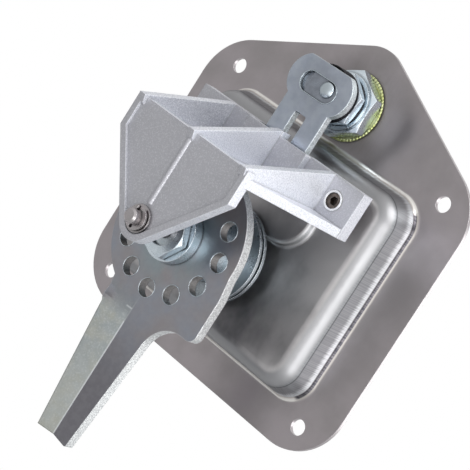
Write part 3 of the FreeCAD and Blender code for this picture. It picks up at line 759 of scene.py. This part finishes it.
STEEL = Metal("bright_steel", (0.46, 0.43, 0.44), (0.40, 0.38, 0.38), 0.26, 0.12, clouds=240.0, edge_r=0.0002)
TAIL_STEEL = Metal("tail_steel", (0.31, 0.34, 0.39), (0.25, 0.27, 0.31), 0.30, 0.12, clouds=260.0)
HANDLE = Metal("handle_steel", (0.52, 0.52, 0.52), (0.47, 0.47, 0.47), 0.27, 0.12, run=Run.ALONG_X,
               edge_r=0.0006)
ALUMINIUM = Casting("cast_aluminium", (0.50, 0.50, 0.535), (0.47, 0.47, 0.50), 0.52, 0.10, 0.7, clouds=45.0,
                    edge_r=0.0005, worn=(0.86, 0.87, 0.90), wear=0.35, crease_shade_share=0.28)
# Painted shade: the near-black of the spacer and its ridges stands for the shade between the thin nut and the
# cam.
BLACK_SPACER_SHADE = Metal("black_spacer_shade", (0.014, 0.014, 0.018), (0.03, 0.03, 0.034), 0.36, 0.12, clouds=220.0, wear=0.08)
BROWNED = Metal("browned_steel", (0.16, 0.13, 0.11), (0.09, 0.075, 0.065), 0.40, clouds=600.0, wear=0.2)
INSERT = Metal("insert_steel", (0.70, 0.70, 0.69), (0.60, 0.60, 0.59), 0.24, 0.10, clouds=300.0, wear=0.5)
BARREL = BarrelPlate("chrome_barrel", (0.62, 0.62, 0.63), (0.58, 0.58, 0.59), 0.13, 0.06, clouds=80.0)
CHROME = Metal("chrome_plate", (0.62, 0.62, 0.63), (0.58, 0.58, 0.59), 0.13, 0.06, clouds=80.0)
PASSIVATED = Metal("yellow_zinc", (0.46, 0.50, 0.19), (0.58, 0.62, 0.34), 0.42, clouds=420.0,
                   worn=(0.80, 0.86, 0.50), wear=0.2, edge_r=0.00015, crease_shade_share=0.3)


class Shop:
    """Makes each finish's material once, and puts pieces in the scene."""

    def __init__(self) -> None:
        """Start with no materials, and read the record's slots."""
        self.made: dict[Metal, Material] = {}
        self.slots = {part["node"]: part["material_slot"] for part in frame["record"]["subparts"]}

    def material(self, finish: Metal) -> Material:
        """The material of a finish.

        Args:
            finish: the finish.

        Returns:
            Its material.
        """
        if finish not in self.made:
            self.made[finish] = finish.build()
        return self.made[finish]

    def dress(self, finishes: dict[str, Metal]) -> None:
        """Give CAD nodes their finishes.

        Args:
            finishes: the finish of each node.
        """
        for node, finish in finishes.items():
            materials = frame["nodes"][node].data.materials
            materials.clear()
            materials.append(self.material(finish))
            log.info("node %s: %s", node, finish.name)

    def place(self, name: str, mesh: Mesh, body: Body, like: str, stands_for: Sequence[str] = ()) -> None:
        """Put a finished mesh in the scene as one piece.

        Args:
            name: the piece's name.
            mesh: its mesh, in place and with its material.
            body: the body it rides on.
            like: the CAD node whose material slot it would share; not used.
            stands_for: CAD nodes that it replaces.
        """
        piece = bpy.data.objects.new(name, mesh)
        bpy.context.scene.collection.objects.link(piece)
        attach(piece, body.value)
        if stands_for:
            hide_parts(*stands_for)
        log.info("piece %s: %d faces on %s", name, len(mesh.polygons), body.value)


def baked(worker: bpy.types.Object) -> Mesh:
    """The evaluated mesh of an object; the object itself is removed.

    Args:
        worker: a scene object with its modifiers.

    Returns:
        A plain mesh.
    """
    bpy.context.view_layer.update()
    graph = bpy.context.evaluated_depsgraph_get()
    mesh = bpy.data.meshes.new_from_object(worker.evaluated_get(graph), preserve_all_data_layers=True,
                                           depsgraph=graph)
    bpy.data.objects.remove(worker)
    return mesh


class Growth(Nodes):
    """A geometry node tree with named sizes, which grows one plain mesh."""

    def __init__(self, name: str) -> None:
        """Start an empty tree.

        Args:
            name: the tree's name.
        """
        super().__init__(bpy.data.node_groups.new(name, "GeometryNodeTree"))
        self.name = name
        self.entry = self.node("NodeGroupInput", {}, {})
        self.exit = self.node("NodeGroupOutput", {}, {})
        self.values: dict[str, Any] = {}

    def size(self, name: str, kind: Size, value: Any) -> Socket:
        """Add a named input.

        Args:
            name: the input's name.
            kind: its kind.
            value: its value.

        Returns:
            The socket that carries the value.
        """
        item = self.tree.interface.new_socket(name, in_out="INPUT", socket_type=kind.value)
        self.values[item.identifier] = value
        return self.entry.outputs[name]

    def number(self, name: str, value: float) -> Socket:
        """Add a named number or length."""
        return self.size(name, Size.NUMBER, value)

    def circle(self, name: str, radius: float, steps: int) -> Socket:
        """Round path with a named radius."""
        return self.node("GeometryNodeCurvePrimitiveCircle", {},
                         {"Resolution": steps, "Radius": self.number(name, radius)}).outputs[0]

    def rectangle(self, width: float, height: float) -> Socket:
        """Rectangular path with named sides."""
        sides = {"Width": self.number("Width", width), "Height": self.number("Height", height)}
        return self.node("GeometryNodeCurvePrimitiveQuadrilateral", {}, sides).outputs[0]

    def spots(self, count_name: str, count: int, radius: float) -> Socket:
        """A named number of points round a circle."""
        vertices, reach = self.size(count_name, Size.COUNT, count), self.number("Circle radius", radius)
        return self.node("GeometryNodeMeshCircle", {}, {"Vertices": vertices, "Radius": reach}).outputs[0]

    def swept(self, path: Socket, profile: Socket) -> Socket:
        """A profile swept along a path, with capped ends."""
        return self.node("GeometryNodeCurveToMesh", {}, {"Curve": path, "Profile Curve": profile,
                                                         "Fill Caps": True}).outputs[0]

    def wire(self, path: Socket, radius: float, sides: int) -> Socket:
        """Round wire along a path."""
        return self.swept(path, self.circle("Wire radius", radius, sides))

    def grow(self, shape: Socket, centre: Triple, material: Material) -> Mesh:
        """Turn the shape from the Z axis to the Y axis, place it and make it a mesh.

        Args:
            shape: the finished geometry's socket, drawn about the Z axis.
            centre: where its origin goes.
            material: its material.

        Returns:
            The plain mesh.
        """
        place = self.size("Centre", Size.PLACE, centre)
        turned = self.node("GeometryNodeTransform", {}, {"Geometry": shape, "Translation": place,
                                                         "Rotation": (-math.pi / 2.0, 0.0, 0.0)})
        plain = self.node("GeometryNodeRealizeInstances", {}, {0: turned.outputs[0]})
        smooth = self.node("GeometryNodeSetShadeSmooth", {}, {0: plain.outputs[0], "Shade Smooth": True})
        dressed = self.node("GeometryNodeSetMaterial", {}, {0: smooth.outputs[0], "Material": material})
        self.tree.interface.new_socket("Geometry", in_out="OUTPUT", socket_type="NodeSocketGeometry")
        self.feed(self.exit.inputs[0], dressed.outputs[0])
        worker = bpy.data.objects.new(self.name, bpy.data.meshes.new(self.name))
        bpy.context.scene.collection.objects.link(worker)
        modifier = worker.modifiers.new("grow", "NODES")
        modifier.node_group = self.tree
        for identifier, value in self.values.items():
            modifier[identifier] = value
        return baked(worker)


@dataclass(frozen=True)
class Coil:
    """Helical wire about the Y axis, for ridges or a thread."""

    name: str
    radius: float
    wire: float
    height: float
    pitch: float
    centre: Triple
    turn_steps: int = 40
    sides: int = 8

    def grow(self, material: Material) -> Mesh:
        """Grow the coil.

        Args:
            material: its material.

        Returns:
            The coil's mesh.
        """
        tree = Growth(self.name)
        reach = tree.number("Radius", self.radius)
        path = tree.node("GeometryNodeCurveSpiral", {},
                         {"Resolution": self.turn_steps, "Start Radius": reach, "End Radius": reach,
                          "Rotations": tree.number("Turns", self.height / self.pitch),
                          "Height": tree.number("Height", self.height)})
        return tree.grow(tree.wire(path.outputs[0], self.wire, self.sides), self.centre, material)


@dataclass
class Plate:
    """Pressed plate with the bush and the guard disc clamped in its pan."""

    def build(self, shop: Shop) -> None:
        """Dress the plate and the pieces on its floor."""
        shop.dress({"mounting_pan": SHEET, "shaft_bush": ZINC, "bush_ring": ZINC, "lower_disc": ZINC})


@dataclass
class KeyLock:
    """Lock barrel with its toothed washer, nuts and the ridged spacer behind the thin nut, near-black as
    painted shade.
    """

    washer_inner: float = 0.0093
    washer_outer: float = 0.0131
    washer_sheet: float = 0.0007
    washer_steps: int = 96
    teeth: int = 60
    tooth_reach: float = 0.0010
    tooth_width: float = 0.00122
    tooth_proud: float = 0.0001
    tooth_swell: float = 1.08
    tooth_twist: float = 0.05
    ridges: Coil = Coil("spacer_ridges", radius=0.0096, wire=0.00036, height=0.0076, pitch=0.0010,
                        centre=(0.0, 0.0125, LOCK_Z))

    def build(self, shop: Shop) -> None:
        """Dress the barrel and nuts, and make the washer and the spacer's ridges.

        Args:
            shop: makes the materials and places the pieces.
        """
        shop.dress({"lock_housing": BARREL, "lock_nut": NUT, "lock_thin_nut": NUT, "lock_spacer": BLACK_SPACER_SHADE})
        shop.place("tooth_washer", self.washer(shop.material(PASSIVATED)), Body.PLATE, "lock_washer",
                   ("lock_washer",))
        shop.place(self.ridges.name, self.ridges.grow(shop.material(BLACK_SPACER_SHADE)), Body.PLATE, "lock_spacer")

    def washer(self, material: Material) -> Mesh:
        """Toothed washer: a flat ring and twisted teeth round it.

        Args:
            material: its material.

        Returns:
            The washer's mesh.
        """
        tree = Growth("tooth_washer")
        inner, outer = self.washer_inner, self.washer_outer
        ring = tree.swept(tree.circle("Ring radius", 0.5 * (inner + outer), self.washer_steps),
                          tree.rectangle(outer - inner, self.washer_sheet))
        points = tree.spots("Teeth", self.teeth, outer - 0.5 * self.tooth_reach + self.tooth_proud)
        size = (self.tooth_reach, self.tooth_width, self.washer_sheet * self.tooth_swell)
        tooth = tree.node("GeometryNodeMeshCube", {}, {"Size": size})
        place = tree.node("GeometryNodeInputPosition", {}, {})
        out = tree.node("FunctionNodeAlignRotationToVector", {"axis": "X"}, {"Vector": place.outputs[0]})
        twist = tree.node("FunctionNodeEulerToRotation", {}, {0: (self.tooth_twist, 0.0, 0.0)})
        turn = tree.node("FunctionNodeRotateRotation", {"rotation_space": "LOCAL"},
                         {0: out.outputs[0], 1: twist.outputs[0]})
        teeth = tree.node("GeometryNodeInstanceOnPoints", {}, {"Points": points, "Instance": tooth.outputs[0],
                                                               "Rotation": turn.outputs[0]})
        joined = tree.node("GeometryNodeJoinGeometry", {}, {0: ring})
        tree.feed(joined.inputs[0], teeth.outputs[0])
        return tree.grow(joined.outputs[0], (0.0, self.washer_sheet, LOCK_Z), material)


@dataclass
class ShaftStack:
    """Hollow shaft with its discs, sleeve, collar and nut."""

    thread: Coil = Coil("nut_thread", radius=0.0060, wire=0.00018, height=0.0013, pitch=0.00045,
                        centre=(0.0, 0.0537, SHAFT_Z))

    def build(self, shop: Shop) -> None:
        """Dress the stack, and show the thread in the nut."""
        shop.dress({"thrust_washer": ZINC, "upper_disc": ZINC, "hub_sleeve": ZINC, "drive_shaft": ZINC,
                    "fold_pin": STEEL, "shaft_collar": NUT, "shaft_nut": NUT})
        shop.place(self.thread.name, self.thread.grow(shop.material(ZINC)), Body.SHAFT, "shaft_nut")


@dataclass
class Lever:
    """Drilled lever plate with a burr round each hole."""

    holes: int = 12
    ring_r: float = 0.0213
    hole_r: float = 0.00355
    hole_steps: int = 40
    turn: float = math.radians(2.7)
    top: float = 0.0469
    burr: float = 0.00013
    burr_sides: int = 6

    def build(self, shop: Shop) -> None:
        """Dress the plate and add the burrs.

        Args:
            shop: makes the materials and places the pieces.
        """
        shop.dress({"lever_plate": LEVER})
        tree = Growth("hole_burrs")
        points = tree.spots("Holes", self.holes, self.ring_r)
        burr = tree.wire(tree.circle("Hole radius", self.hole_r, self.hole_steps), self.burr, self.burr_sides)
        rings = tree.node("GeometryNodeInstanceOnPoints", {}, {"Points": points, "Instance": burr})
        turned = tree.node("GeometryNodeTransform", {}, {"Geometry": rings.outputs[0],
                                                         "Rotation": (0.0, 0.0, self.turn)})
        mesh = tree.grow(turned.outputs[0], (0.0, self.top, SHAFT_Z), shop.material(ZINC))
        shop.place("hole_burrs", mesh, Body.SHAFT, "lever_plate")


@dataclass
class RibbedBracket:
    """Ribbed casting with its thread insert and set screw."""

    def build(self, shop: Shop) -> None:
        """Dress the casting and its fittings."""
        shop.dress({"bracket": ALUMINIUM, "rod_washer": STEEL, "thread_insert": INSERT, "set_screw": BROWNED})


@dataclass
class Rod:
    """Pull rod with its spring clip."""

    def build(self, shop: Shop) -> None:
        """Dress the rod and its clip."""
        shop.dress({"pull_rod": STEEL, "e_clip": STEEL})


@dataclass
class Cam:
    """Slotted cam on the key plug's tail, with a domed rivet."""

    rivet_x: float = -0.0036
    rivet_z: float = 0.0576
    rivet_r: float = 0.0031
    rivet_low: float = 0.02335
    rivet_crown: float = 0.0016
    crown_share: float = 0.06
    rings: int = 9
    around: int = 40
    slot_length: float = 0.0170
    slot_width: float = 0.0082
    corner_share: float = 0.499
    corner_steps: int = 12
    top: float = 0.0240
    lip: float = 0.00019
    lip_sides: int = 6

    def build(self, shop: Shop) -> None:
        """Dress the cam and the plug, and make the rivet's dome and the slot's lip.

        Args:
            shop: makes the materials and places the pieces.
        """
        shop.dress({"lock_plug": CHROME, "lock_cam": CAM_ZINC, "lock_tail": TAIL_STEEL})
        shop.place("rivet_dome", self.dome(shop.material(ZINC)), Body.CAM, "cam_rivet", ("cam_rivet",))
        shop.place("slot_lip", self.slot_lip(shop.material(ZINC)), Body.CAM, "lock_cam")

    def slot_lip(self, material: Material) -> Mesh:
        """Raised lip that the punch left round the slot for the tail.

        Args:
            material: its material.

        Returns:
            The lip's mesh.
        """
        tree = Growth("slot_lip")
        corner = tree.number("Corner", self.corner_share * self.slot_width)
        path = tree.node("GeometryNodeFilletCurve", {"mode": "POLY"},
                         {"Curve": tree.rectangle(self.slot_length, self.slot_width),
                          "Count": self.corner_steps, "Radius": corner})
        lip = tree.wire(path.outputs[0], self.lip, self.lip_sides)
        return tree.grow(lip, (0.0, self.top, LOCK_Z), material)

    def dome(self, material: Material) -> Mesh:
        """Peened rivet head: a low dome with a slightly flattened crown.

        Args:
            material: its material.

        Returns:
            The dome's mesh.
        """
        bm = bmesh.new()
        angles = [2.0 * math.pi * step / self.around for step in range(self.around)]
        loops = []
        for ring in range(self.rings):
            lean = ring / (self.rings - 1) * math.pi / 2.0
            radius = self.rivet_r * (math.cos(lean) if ring < self.rings - 1 else self.crown_share)
            height = self.rivet_low + self.rivet_crown * math.sin(lean)
            loops.append([bm.verts.new((self.rivet_x + radius * math.cos(angle), height,
                                        self.rivet_z + radius * math.sin(angle))) for angle in angles])
        for low, high in zip(loops, loops[1:]):
            for step in range(self.around):
                after = (step + 1) % self.around
                bm.faces.new((low[step], low[after], high[after], high[step]))
        bm.faces.new(loops[-1])
        bm.faces.new(tuple(reversed(loops[0])))
        bmesh.ops.recalc_face_normals(bm, faces=bm.faces)
        mesh = bpy.data.meshes.new("rivet_dome")
        bm.to_mesh(mesh)
        bm.free()
        mesh.materials.append(material)
        mesh.shade_smooth()
        return mesh


@dataclass
class Handle:
    """Folding T-handle in the pan's recess."""

    def build(self, shop: Shop) -> None:
        """Dress the handle."""
        shop.dress({"t_handle": HANDLE})


@dataclass(frozen=True)
class Lamp:
    """One large soft lamp aimed at the lock: its place, width and power in watts."""

    name: str
    place: Triple
    width: float
    power: float

    def build(self) -> None:
        """Hang the lamp."""
        data = bpy.data.lights.new(self.name, "AREA")
        data.shape = "DISK"
        data.size = self.width
        data.energy = self.power
        lamp = bpy.data.objects.new(self.name, data)
        lamp.location = self.place
        lamp.rotation_euler = Vector(self.place).to_track_quat("Z", "Y").to_euler()
        bpy.context.scene.collection.objects.link(lamp)


@dataclass
class Studio:
    """Floor, light and camera."""

    lens: float = 135.65
    sensor: float = 36.0
    clip: Pair = (0.01, 20.0)
    eye: Triple = (-0.3668, 0.5231, 0.0753)
    right: Triple = (-0.6428, -0.55018, 0.53303)
    up: Triple = (0.49655, 0.23059, 0.83682)
    back: Triple = (-0.58331, 0.80258, 0.12497)
    room_axis: Triple = (-0.85, -0.45, 0.25)
    room_turn: Pair = (-0.95, 0.35)
    room_light: Pair = (0.64, 1.05)
    even_tone: Colour = (0.96, 0.98, 1.0)
    even_light: float = 0.42
    floor_z: float = -0.30
    floor_r: float = 0.50
    floor_steps: int = 96
    floor_noise: Pattern = Pattern(12.0, 2.0)
    floor_tones: tuple[Colour, Colour] = ((0.86, 0.86, 0.86), (0.83, 0.83, 0.83))
    floor_rough: float = 0.8
    floor_glow: float = 0.85
    lamps: tuple[Lamp, ...] = (Lamp("side", (-0.88, 0.40, -0.10), 0.80, 4.0),
                               Lamp("front", (-0.36, 0.86, -0.08), 0.50, 0.62),
                               Lamp("low", (-0.44, -0.84, -0.05), 0.56, 2.0),
                               Lamp("top", (-0.60, 0.05, 0.72), 0.72, 4.4))

    def build(self) -> None:
        """Build the whole studio."""
        self.camera()
        self.world()
        self.floor()
        for lamp in self.lamps:
            lamp.build()
        log.info("studio built")

    def camera(self) -> None:
        """Place the camera at the photograph's view."""
        data = bpy.data.cameras.new("camera")
        data.lens = self.lens
        data.sensor_width = self.sensor
        data.clip_start, data.clip_end = self.clip
        camera = bpy.data.objects.new("camera", data)
        axes = Matrix((self.right, self.up, self.back)).transposed()
        camera.matrix_world = Matrix.Translation(self.eye) @ axes.to_4x4()
        bpy.context.scene.collection.objects.link(camera)
        bpy.context.scene.camera = camera

    def world(self) -> None:
        """White for the camera, a pale room for reflections, and even light for the rest."""
        world = bpy.data.worlds.new("studio")
        world.use_nodes = True
        room = Nodes(world.node_tree)
        room.tree.nodes.clear()
        along = room.node("ShaderNodeVectorMath", {"operation": "DOT_PRODUCT"},
                          {0: room.coordinates("Generated"), 1: self.room_axis})
        wall = Field(room, along.outputs["Value"]).eased(*self.room_turn, *self.room_light)
        lights = ((self.even_tone, self.even_light), (WHITE, wall), (WHITE, 1.0))
        even, pale, white = (room.node("ShaderNodeBackground", {}, {"Color": tone, "Strength": strength})
                             for tone, strength in lights)
        mirrored = room.mixed(room.ray("Is Glossy Ray"), even, pale)
        seen = room.mixed(room.ray("Is Camera Ray"), mirrored, white)
        room.node("ShaderNodeOutputWorld", {}, {"Surface": seen.outputs[0]})
        bpy.context.scene.world = world
        bpy.context.scene.view_settings.view_transform = "Standard"

    def floor(self) -> None:
        """A round pale floor below the lock."""
        bm = bmesh.new()
        bmesh.ops.create_circle(bm, cap_ends=True, segments=self.floor_steps, radius=self.floor_r)
        bmesh.ops.translate(bm, verts=bm.verts, vec=(0.0, 0.0, self.floor_z))
        mesh = bpy.data.meshes.new("floor")
        bm.to_mesh(mesh)
        bm.free()
        floor = bpy.data.objects.new("floor", mesh)
        bpy.context.scene.collection.objects.link(floor)
        shader = Shader("pale_floor")
        pale = shader.blend(shader.noise(self.floor_noise), *self.floor_tones)
        shader.done({"Base Color": pale, "Roughness": self.floor_rough})
        glow = shader.node("ShaderNodeEmission", {}, {"Color": WHITE, "Strength": 1.0})
        mixed = shader.mixed(shader.ray("Is Camera Ray") * self.floor_glow, shader.surface, glow)
        shader.feed(shader.output.inputs["Surface"], mixed.outputs[0])
        mesh.materials.append(shader.material)


def main() -> None:
    """Build the scene in order and report each piece."""
    logging.basicConfig(level=logging.INFO, format="%(name)s: %(message)s")
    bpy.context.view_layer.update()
    shop = Shop()
    for assembly in (Plate(), KeyLock(), ShaftStack(), Lever(), RibbedBracket(), Rod(), Cam(), Handle()):
        assembly.build(shop)
    Studio().build()


if __name__ == "__main__":
    main()
